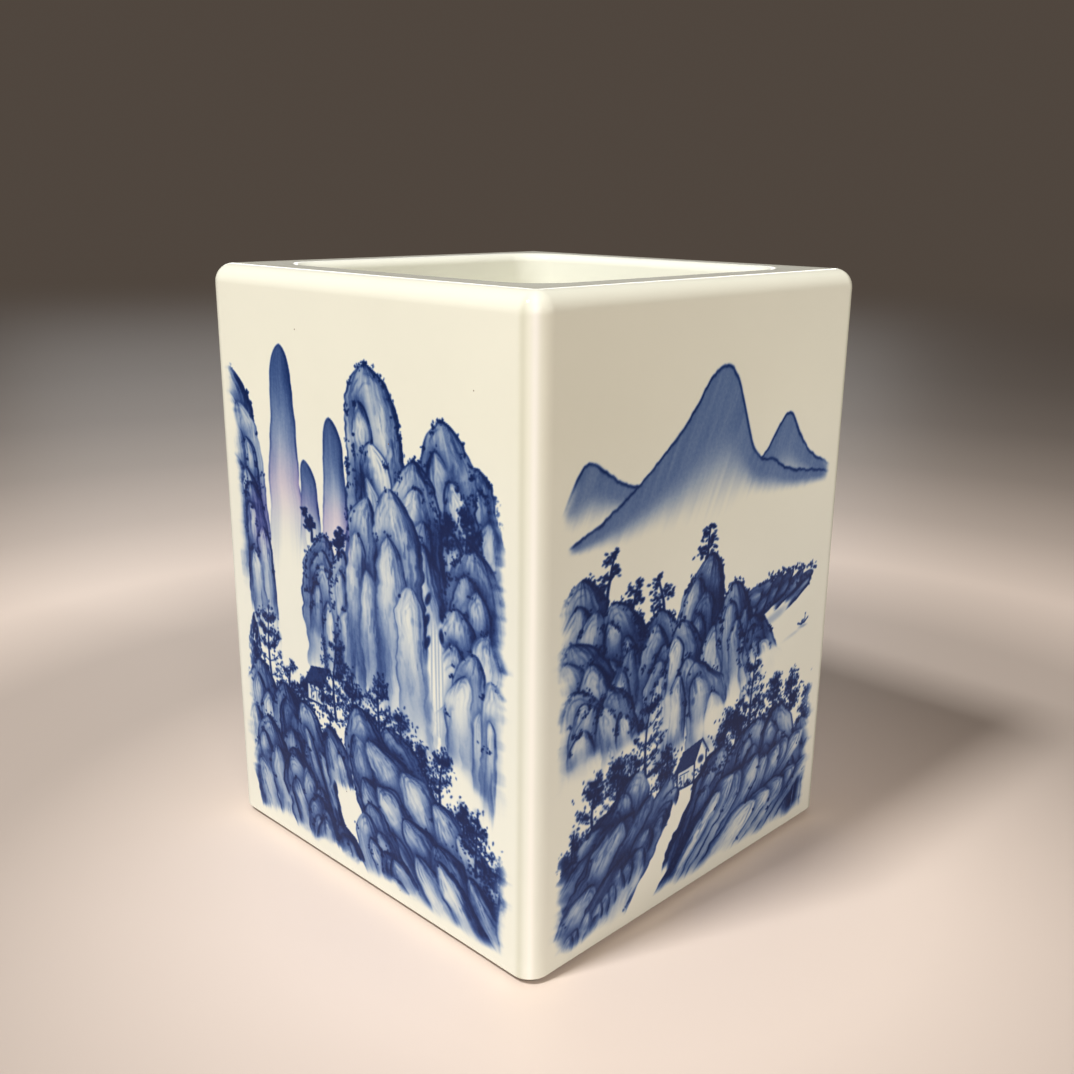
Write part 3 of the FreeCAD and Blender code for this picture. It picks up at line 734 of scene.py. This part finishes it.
def right(p):
    """Far hills over water, bent pines on crags, a hut among boulders."""
    p.far_hill([(-44, 90), (-41, 96), (-37.5, 100.5), (-34, 99.5), (-30, 96.5), (-25, 94), (-16, 94)],
               [(-44, 89), (-16, 90)])
    p.far_hill([(13, 92), (18, 94.5), (22, 99.5), (25.5, 102.5), (28, 100.5), (31, 95.5), (36, 91), (44, 88)],
               [(13, 88), (44, 85)])
    p.far_hill([(-42, 85.5), (-34, 88), (-26, 92), (-18, 97), (-11, 102), (-6, 107), (-2.5, 112), (2, 114),
                (6, 112.5), (8.5, 107.5), (11, 101), (13.5, 95), (17, 93), (21, 93), (25, 90), (32, 88.5),
                (44, 86.5)], [(-42, 84), (-26, 84), (-8, 86), (10, 87), (30, 84.5), (44, 84)], depth=0.36)
    # crags in the middle distance
    p.promontory(12, 62, 40, 64)
    p.boat(37, 52, 1.1)
    p.wash(24, 56, 12, 1.6, 0.16, 0.25)
    p.wash(33, 50, 6, 0.8, 0.14, 0.2)
    p.windswept(-31, 74, 8, 0.3)
    p.windswept(-24, 68, 6.5, 0.35)
    rocks(p, ((-39, 79, 17, 32, 0.12, 4), (-28, 73, 12, 34, 0.22, 4)), moss=36, tone=1.05)
    rocks(p, ((-38, 68, 16, 26, 0.22, 3), (-26, 62, 11, 26, 0.2, 2)), moss=14, tone=1.0, mist=0.45)
    p.windswept(-14, 66, 8.5, -0.2)
    p.windswept(-18, 61, 7, -0.4)
    p.windswept(-1, 73.5, 8, 0.15)
    rocks(p, ((-2, 76, 15, 36, 0.06, 4), (9, 68, 12, 28, 0.16, 4), (-13, 68, 12, 32, -0.08, 4)),
          moss=36, tone=1.05)
    rocks(p, ((-7, 64, 12, 28, 0.0, 3), (15, 58, 12, 18, 0.5, 4)), moss=20, tone=1.05)
    rocks(p, ((1, 54, 13, 26, 0.05, 2),), moss=4, mist=0.2, tone=0.85, line=0.5, arcs=0.2)
    rocks(p, ((-38, 58, 14, 19, 0.1, 3), (-29, 56, 10, 16, 0.2, 2)), moss=24, mist=0.35, tone=1.0)
    # mist lies between the crags and the near bank
    p.mist(-20, 40, 15, 5.5, 0.95)
    p.mist(-38, 37, 12, 7, 0.95)
    p.mist(6, 38, 12, 5, 0.9)
    p.mist(26, 45, 18, 8, 0.95)
    p.mist(-12, 45, 6, 7, 0.7)
    # the near bank, its trees first
    trees(p, ((-17, 29, 22, 2.6), (-33, 26, 13, 2.2), (-26, 28, 12, 2.0), (-39, 18, 11, 1.8),
              (-11, 28, 9, 1.6), (9, 29, 10, 1.6), (18, 31, 18, 2.2), (13, 29, 9, 1.6), (27, 31, 11, 1.8),
              (34, 30, 11, 1.8), (41, 26, 9, 1.6)))
    scrubs(p, ((-20, 33, 160, 14, 5), (24, 33, 200, 18, 5), (-34, 24, 90, 9, 4)))
    rocks(p, ((-19, 35, 14, 36, -0.36, 4), (-28, 30, 14, 34, -0.42, 4), (-36, 22, 13, 26, -0.4, 4)),
          moss=20, mist=0.85, tone=1.05, flare=0.1, shade=-1)
    p.house(-3, 26, 4.6)
    rocks(p, ((9, 31, 13, 30, -0.5, 4), (20, 34, 16, 36, -0.3, 5), (32, 34, 15, 34, -0.2, 5),
              (41, 28, 12, 28, -0.1, 4)), moss=22, mist=0.9, tone=1.05, flare=0.1, shade=-1)
    p.ribs((40, 24), (8, 22), 8, 8, 40, -0.85, tone=1.05, shade=-1, mist=0.75)
    p.ribs((44, 17), (22, 14), 5, 7, 30, -1.0, tone=0.9, shade=-1, mist=0.45)
    p.ribs((-34, 24), (-9, 29), 5, 10, 38, -0.62, tone=0.8, shade=-1)
    p.ribs((-38, 14), (-16, 18), 4, 9, 26, -0.70, tone=0.75, shade=-1)
    for k in range(18):
        x = -6 - 2.1 * k + p.random.uniform(-1.5, 1.5)
        z = 27 - 1.4 * k + p.random.uniform(-1.2, 1.2)
        p.fold(x, z, p.random.uniform(3.5, 6), p.random.uniform(3.5, 5.5), -0.5, tone=1.05, crown=0.8,
               mist=0.6, halo=0.4, flare=0.4)
    p.scrub(3, 26, 90, 10, 1.8)


def back(p):
    """A gorge: crags at both sides, a fall of water between them, pines and boulders below."""
    p.far_hill([(-20, 92), (-12, 96), (-6, 101), (0, 97), (6, 99), (12, 104), (17, 98), (22, 93)],
               [(-20, 86), (22, 86)])
    rocks(p, ((-33, 111, 18, 66, -0.02, 6), (-19, 99, 14, 56, 0.06, 5), (-40, 92, 12, 50, 0.0, 4)),
          moss=40, tone=1.0)
    rocks(p, ((32, 105, 19, 64, 0.02, 6), (19, 92, 13, 50, -0.06, 5), (41, 90, 10, 48, 0.0, 4)),
          moss=40, tone=0.8)
    rocks(p, ((-10, 76, 11, 36, 0.05, 3), (10, 74, 12, 36, -0.05, 3)), moss=20, tone=1.05, mist=0.45)
    rocks(p, ((-3, 85, 14, 48, 0.03, 4), (5, 81, 13, 44, -0.03, 3)), moss=20, tone=0.9, mist=0.4)
    p.fall(0.5, 74, 40, 2.4)
    p.windswept(-20, 98, 6, 0.4)
    p.windswept(20, 91, 6, -0.4)
    p.house(18, 38, 4.2, -1)
    trees(p, ((-38, 32, 20, 2.6), (-30, 34, 16, 2.4), (-22, 33, 17, 2.4), (-13, 30, 11, 2.0),
              (12, 31, 13, 2.0), (27, 34, 18, 2.6), (35, 35, 22, 2.8), (41, 31, 14, 2.0)))
    scrubs(p, ((-26, 34, 200, 22, 5), (30, 35, 180, 20, 5)))
    rocks(p, ((-36, 36, 16, 36, 0.1, 5), (-24, 35, 15, 34, 0.3, 5), (-13, 29, 13, 32, 0.5, 4),
              (-32, 20, 15, 20, 0.3, 5)), **NEAR_BANK)
    rocks(p, ((37, 37, 15, 36, -0.05, 5), (26, 35, 15, 34, -0.2, 5), (15, 29, 13, 30, -0.4, 4),
              (30, 20, 15, 20, -0.2, 5), (8, 14, 12, 14, -0.4, 4)), **NEAR_BANK, shade=-1)


def left(p):
    """A wide river: pale hills, a wooded spit with crags, boats, and trees on the near bank."""
    p.far_hill([(-44, 96), (-36, 99), (-28, 105), (-21, 101), (-13, 97), (-4, 95)], [(-44, 91), (-4, 90)])
    p.far_hill([(-16, 90), (-6, 95), (2, 100), (9, 108), (14, 111), (20, 106), (27, 98), (35, 94), (44, 91)],
               [(-16, 87), (44, 86)], depth=0.36)
    p.far_hill([(-44, 87), (-34, 90), (-25, 88), (-12, 86)], [(-44, 83), (-12, 82)], depth=0.30)
    p.windswept(31, 79, 8, -0.4)
    p.windswept(22, 71, 7, -0.4)
    rocks(p, ((36, 80, 17, 36, -0.1, 5), (25, 72, 14, 32, -0.15, 4), (14, 62, 12, 24, -0.3, 4)),
          moss=34, tone=0.8, shade=-1)
    rocks(p, ((-35, 68, 13, 22, 0.1, 3), (-26, 63, 11, 18, 0.2, 3)), moss=26, tone=1.0, mist=0.4)
    p.boat(-8, 60, 1.1)
    p.boat(2, 52, 0.9)
    p.wash(-6, 57, 14, 1.2, 0.14)
    p.wash(8, 49, 12, 1.0, 0.12, 0.1)
    p.house(-20, 30, 4.6, -1)
    trees(p, ((-40, 28, 24, 2.8), (-32, 30, 17, 2.6), (-11, 28, 16, 2.4), (-4, 24, 11, 2.0),
              (30, 24, 17, 2.4), (38, 26, 22, 2.8), (22, 19, 11, 2.0)))
    scrubs(p, ((-28, 31, 180, 20, 5), (-6, 25, 80, 10, 4), (32, 26, 130, 16, 5)))
    rocks(p, ((-37, 32, 16, 36, 0.2, 5), (-26, 30, 15, 34, 0.45, 5), (-14, 28, 13, 34, 0.6, 4),
              (-34, 17, 15, 16, 0.4, 4), (-5, 20, 12, 28, 0.75, 4), (-16, 14, 12, 16, 0.6, 4)), **NEAR_BANK)
    rocks(p, ((38, 29, 15, 30, -0.15, 5), (28, 25, 14, 26, -0.4, 4), (19, 17, 12, 18, -0.6, 4),
              (34, 14, 13, 14, -0.3, 4)), **NEAR_BANK, shade=-1)


# ---- materials


class Nodes:
    """Adds shader nodes to a material and links them."""

    def __init__(self, name):
        self.material = bpy.data.materials.new(name)
        self.material.use_nodes = True
        self.tree = self.material.node_tree
        self.shader = self.tree.nodes["Principled BSDF"]

    def put(self, socket, value):
        """Links a value to a socket, or sets it there."""
        if isinstance(value, bpy.types.NodeSocket):
            self.tree.links.new(value, socket)
        else:
            socket.default_value = value

    def add(self, kind, inputs=None, **settings):
        """A node with its settings and its inputs."""
        node = self.tree.nodes.new("ShaderNode" + kind)
        for key, value in settings.items():
            setattr(node, key, value)
        for key, value in (inputs or {}).items():
            self.put(node.inputs[key], value)
        return node

    def ramp(self, value, stops):
        """The colour at a value, from stops of a place and a colour."""
        node = self.add("ValToRGB", {"Fac": value})
        elements = node.color_ramp.elements
        while len(elements) < len(stops):
            elements.new(0.5)
        for element, (place, colour) in zip(elements, stops):
            element.position = place
            element.color = (*colour, 1.0)
        return node.outputs["Color"]

    def mix(self, kind, share, a, b):
        """Two colours blended by a share."""
        node = self.add("Mix", {0: share}, data_type="RGBA", blend_type=kind)
        for key, value in ((6, a), (7, b)):
            self.put(node.inputs[key], (*value, 1.0) if isinstance(value, tuple) else value)
        return node.outputs[2]

    def place(self):
        """Places in the object's own coordinates."""
        return self.add("TexCoord").outputs["Object"]

    def noise(self, scale, detail=3.0, roughness=0.5):
        """Random values over the object, so many to a metre."""
        settings = {"Vector": self.place(), "Scale": scale, "Detail": detail, "Roughness": roughness}
        return self.add("TexNoise", settings).outputs["Fac"]

    def field(self, name):
        """A value that the mesh holds on its points."""
        return self.add("Attribute", attribute_name=name).outputs["Fac"]

    def calculate(self, operation, a, b):
        """A Math node's result."""
        return self.add("Math", {0: a, 1: b}, operation=operation).outputs[0]

    def span(self, value, start, end, low=0.0, high=1.0):
        """The value's place between start and end, as one between low and high."""
        limits = {"From Min": start, "From Max": end, "To Min": low, "To Max": high}
        return self.add("MapRange", {"Value": value, **limits}).outputs["Result"]

    def finish(self, **sockets):
        """Sets the shader's sockets, named with _ for a space, and gives the material."""
        for key, value in sockets.items():
            self.put(self.shader.inputs[key.replace("_", " ")], value)
        return self.material


OUTER_GLAZE = (0.87, 0.87, 0.735)
LOW_GLAZE = (0.86, 0.875, 0.775)  # a little cooler towards the foot
WARM_ABOVE, COOL_BELOW = 0.105, 0.065  # metres above the table
WELL_GLAZE = (0.92, 0.93, 0.81)
# paler glaze on the mitres: thin glaze and a painted highlight
THIN_GLAZE_HIGHLIGHT = (0.97, 0.96, 0.88)
# the colour of the painted shade stripe beside a corner
PAINTED_SHADE_TINT = (0.6, 0.6, 0.5)
PLUM = (0.98, 0.70, 0.92)
IRON = (0.16, 0.10, 0.05)
PATCHY = 0.95  # of the glaze's colour, in its darker patches
# bare clay of the foot, darkened with painted contact shade where it meets the table
CLAY_AND_SHADE_DARK, CLAY_AND_SHADE_PALE = (0.055, 0.038, 0.022), (0.12, 0.085, 0.05)


def cobalt(depth):
    """How much light a depth of cobalt lets back through, for red, green and blue."""
    return tuple(math.exp(-k) for k in (5.4 * depth, 4.1 * depth, 1.6 * depth + 0.65 * depth ** 2))


def painted_colour(n, paper):
    """The glaze of a side: paler on the corners for thin glaze and a painted highlight, with a painted shade
    stripe beside one corner, over the cobalt and the plum.
    """
    # thin: above 0 on the mitres, thin glaze and a painted highlight; below 0, a painted shade stripe
    thin = n.field("thin")
    colour = n.mix("MIX", n.calculate("MAXIMUM", thin, 0.0), paper, THIN_GLAZE_HIGHLIGHT)
    # painted shade where thin is below 0
    stripe_shade = n.calculate("MAXIMUM", n.calculate("MULTIPLY", thin, -0.55), 0.0)
    colour = n.mix("MULTIPLY", stripe_shade, colour, PAINTED_SHADE_TINT)
    mottle = n.span(n.noise(1300, 4, 0.6), 0.3, 0.7, 0.92, 1.08)
    depth = n.calculate("MULTIPLY", n.field("ink"), mottle)
    colour = n.mix("MULTIPLY", 1.0, colour, n.ramp(depth, [(d / 16, cobalt(d / 16)) for d in range(17)]))
    return n.mix("MULTIPLY", 1.0, colour, n.mix("MIX", n.field("plum"), (1.0, 1.0, 1.0), PLUM))


def iron_specks(n):
    """1 in a small dot in about one cell in ten, 0 elsewhere."""
    cell = n.add("TexVoronoi", {"Vector": n.place(), "Scale": 170.0})
    near = n.span(cell.outputs["Distance"], 0.018, 0.035, 1.0, 0.0)
    chance = n.add("SeparateColor", {"Color": cell.outputs["Color"]}).outputs[0]
    return n.calculate("MULTIPLY", near, n.calculate("GREATER_THAN", chance, 0.9))


def glaze_material(name, painted):
    """Clear glaze over white clay, with the painting on the sides and a paler colour in the well."""
    n = Nodes(name)
    cloud = n.noise(18, 4)
    height = n.add("SeparateXYZ", {0: n.place()}).outputs["Z"]
    colour = n.mix("MIX", n.span(height, WARM_ABOVE, COOL_BELOW), OUTER_GLAZE, LOW_GLAZE)
    patches = n.ramp(cloud, [(0.3, (PATCHY,) * 3), (0.7, (1.0, 1.0, 1.0))])
    colour = n.mix("MULTIPLY", 1.0, colour, patches)
    if painted:
        colour = painted_colour(n, colour)
    else:
        well = n.ramp(cloud, [(0.3, tuple(PATCHY * c for c in WELL_GLAZE)), (0.7, WELL_GLAZE)])
        colour = n.mix("MIX", n.field("deep"), colour, well)
    colour = n.mix("MIX", iron_specks(n), colour, IRON)
    bump = n.add("Bump", {"Height": n.noise(55, 2), "Strength": 0.25, "Distance": 0.0004}).outputs["Normal"]
    return n.finish(Base_Color=colour, Roughness=0.1, IOR=1.5, Specular_IOR_Level=0.12, Normal=bump)


def clay_and_shade_material():
    """Bare fired clay, brown and rough, darkened as painted contact shade at the foot."""
    n = Nodes("bare_clay")
    grain = n.ramp(n.noise(1500, 5, 0.7), [(0.3, CLAY_AND_SHADE_DARK), (0.7, CLAY_AND_SHADE_PALE)])
    bump = n.add("Bump", {"Height": n.noise(2500, 5), "Strength": 0.5, "Distance": 0.0001}).outputs["Normal"]
    return n.finish(Base_Color=grain, Roughness=0.85, Normal=bump)


# ---- stage, light, camera

PALE = (0.72, 0.612, 0.53)
ROOM = (0.080, 0.062, 0.049)
PAINTED_LIGHT_CENTRE = (0.0247, -0.0038)  # metres; the floor's painted light and shade run in rings round this
TONE_REACH = 1.6  # metres out for a share of 1
# painted light and shade on the floor: bright near the pot, a painted shadow ring, a painted bright band,
# then darker further out
FLOOR_PAINTED_LIGHT = ((0.0, 1.2), (0.045, 1.2), (0.065, 0.98), (0.088, 0.72), (0.118, 0.74), (0.158, 1.2),
               (0.21, 0.80), (0.28, 0.50), (0.37, 0.33), (0.5, 0.26), (0.8, 0.22), (1.0, 0.2))
FLOOR_RINGS = (300, 1000, 3000, 30000)
FLOOR_SIDES = 96


def floor_material():
    """A pale table with painted light and shade in rings: bright near the pot, a painted shadow ring, a
    painted bright band, then darker, and far out a painted glow of the room's dim colour.
    """
    n = Nodes("floor")
    shift = (-PAINTED_LIGHT_CENTRE[0], -PAINTED_LIGHT_CENTRE[1], 0)
    flat = n.add("VectorMath", {0: n.place(), 1: (1, 1, 0), 2: shift}, operation="MULTIPLY_ADD").outputs[0]
    reach = n.add("VectorMath", {0: flat}, operation="LENGTH").outputs["Value"]
    stops = [(share, tuple(c * tone for c in PALE)) for share, tone in FLOOR_PAINTED_LIGHT]
    n.finish(Base_Color=n.ramp(n.span(reach, 0.0, TONE_REACH), stops), Roughness=0.45)
    limits = {"Value": reach, "From Min": 0.35, "From Max": 2.0}
    far = n.add("MapRange", limits, interpolation_type="SMOOTHSTEP").outputs["Result"]
    # far out the floor is a painted glow in the room's dim colour, standing in for the dark room
    room = n.add("Emission", {"Color": (*ROOM, 1)})
    blend = n.add("MixShader", {0: far, 1: n.shader.outputs[0], 2: room.outputs[0]})
    n.tree.links.new(blend.outputs[0], n.tree.nodes["Material Output"].inputs["Surface"])
    return n.material


def stage():
    """The floor: a fan of triangles and rings of quads round it."""
    turn = np.arange(FLOOR_SIDES) * 2 * math.pi / FLOOR_SIDES
    circle = np.stack([np.cos(turn), np.sin(turn), 0 * turn], -1)
    points = np.concatenate([np.zeros((1, 3))] + [radius * circle for radius in FLOOR_RINGS])
    fan = [(0, 1 + k, 1 + (k + 1) % FLOOR_SIDES) for k in range(FLOOR_SIDES)]
    rings = 1 + grid_faces(len(FLOOR_RINGS), FLOOR_SIDES, closed=True)[:, ::-1]
    floor = new_object("floor", points, fan + rings.tolist(), smooth=False)
    floor.data.materials.append(floor_material())


def lamp(name, kind, place, aim, watts, **settings):
    """A light at a place, turned towards its aim."""
    data = bpy.data.lights.new(name, kind)
    data.energy = watts
    for key, value in settings.items():
        setattr(data, key, value)
    obj = bpy.data.objects.new(name, data)
    bpy.context.scene.collection.objects.link(obj)
    obj.location = place
    obj.rotation_euler = (Vector(aim) - Vector(place)).to_track_quat("-Z", "Y").to_euler()
    return obj


def panel(name, place, aim, size, watts, colour=(1, 1, 1)):
    """A rectangular light, its size across and up."""
    return lamp(name, "AREA", place, aim, watts, shape="RECTANGLE", size=size[0], size_y=size[1],
                color=colour)


def lights():
    """A dim warm room, a high key, soft fills, a spot on the right side's far edge, a sweep on the floor."""
    world = bpy.data.worlds.new("room")
    world.use_nodes = True
    background = world.node_tree.nodes["Background"].inputs
    background["Color"].default_value = (*ROOM, 1)
    background["Strength"].default_value = 1.0
    bpy.context.scene.world = world
    middle = (0, 0, 0.06)
    panel("key", Vector((-14, -79, 130)).normalized() * 1.5, middle, (0.22, 0.22), 18)
    panel("fill_corner", (1.0, -0.84, 0.75), middle, (0.9, 0.7), 10, (1.0, 0.92, 0.86))
    panel("fill_right", (0.85, 0.45, 0.45), middle, (0.6, 0.5), 0.5)
    lamp("edge_right", "SPOT", (0.62, 0.30, 0.42), (0.045, 0.05, 0.108), 5.0,
         spot_size=math.radians(13), spot_blend=1.0, shadow_soft_size=0.06)
    sweep = panel("sweep", (-1.6, 1.4, 0.62), (0, 0, 0), (1.8, 0.35), 5)
    sweep.visible_camera = False


SENSOR = 36
FOCAL_LENGTH = 1.10056  # in picture widths
TARGET = (0.00155, 0, 0.0693)
DISTANCE = 0.2709
AZIMUTH, ELEVATION, ROLL = 44.52, 16.23, 0.57  # degrees


def camera():
    """The photograph's camera, looking at the corner between the front and the right side."""
    data = bpy.data.cameras.new("camera")
    data.sensor_width = SENSOR
    data.lens = SENSOR * FOCAL_LENGTH
    data.clip_start = 0.01
    cam = bpy.data.objects.new("camera", data)
    bpy.context.scene.collection.objects.link(cam)
    az, el, roll = np.radians((AZIMUTH, ELEVATION, ROLL))
    back = Vector((math.sin(az) * math.cos(el), -math.cos(az) * math.cos(el), math.sin(el)))
    cam.location = Vector(TARGET) + back * DISTANCE
    turn = (-back).to_track_quat("-Z", "Y").to_matrix()
    cam.rotation_euler = (turn @ Matrix.Rotation(float(roll), 3, "Z")).to_euler()
    bpy.context.scene.camera = cam
    bpy.context.scene.view_settings.view_transform = "Standard"


def main():
    """Paints and glazes the sides, glazes the rim and the well, and gives the CAD nodes their materials."""
    outer = glaze_material("outer_glaze", painted=True)
    inner = glaze_material("inner_glaze", painted=False)
    # clay: bare clay, darkened as painted contact shade at the foot
    clay = clay_and_shade_material()
    for turns, (side, compose) in enumerate(zip(SIDES, (front, right, back, left))):
        painting = Painting(paint_x, paint_z, seed=turns + 1)
        compose(painting)
        glazed_side(turns, side, *painting.finish()).data.materials.append(outer)
    rim_and_well().data.materials.append(inner)
    for name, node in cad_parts.items():
        if name.startswith(("glaze_rim", "glaze_well")):
            continue
        material = inner if name == "glaze_base" else outer if name.startswith("glaze") else clay
        for slot in node.material_slots:
            slot.material = material
    stage()
    lights()
    camera()


main()
